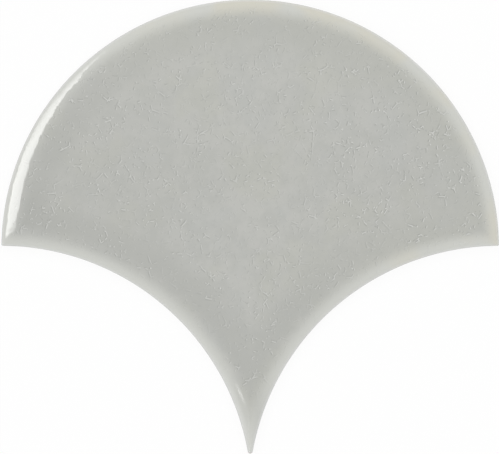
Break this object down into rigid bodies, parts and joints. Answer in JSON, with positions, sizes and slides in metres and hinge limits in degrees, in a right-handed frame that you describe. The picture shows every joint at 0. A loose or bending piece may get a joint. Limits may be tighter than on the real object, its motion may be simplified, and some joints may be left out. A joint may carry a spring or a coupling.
{
  "type": "fish scale tile",
  "caption": "Scale-shaped glazed wall tile: half-round top, scooped sides that nest against the next row, pointed tip, pillowed crackle-glaze face and a keyed back for adhesive.",
  "frame": {"origin": "on the back, under the middle of the tile's width and length", "axes": "+Z out of the glazed face, +X across the width, +Y towards the half-round top; the tip points to -Y"},
  "size_m": [0.17, 0.155, 0.009],
  "materials": {
    "crackle_glaze": "gloss crackle glaze, pale grey-green, over a cream fired body"
  },
  "bodies": {
    "root": {"fish_scale_tile": "crackle_glaze"}
  },
  "joints": []
}
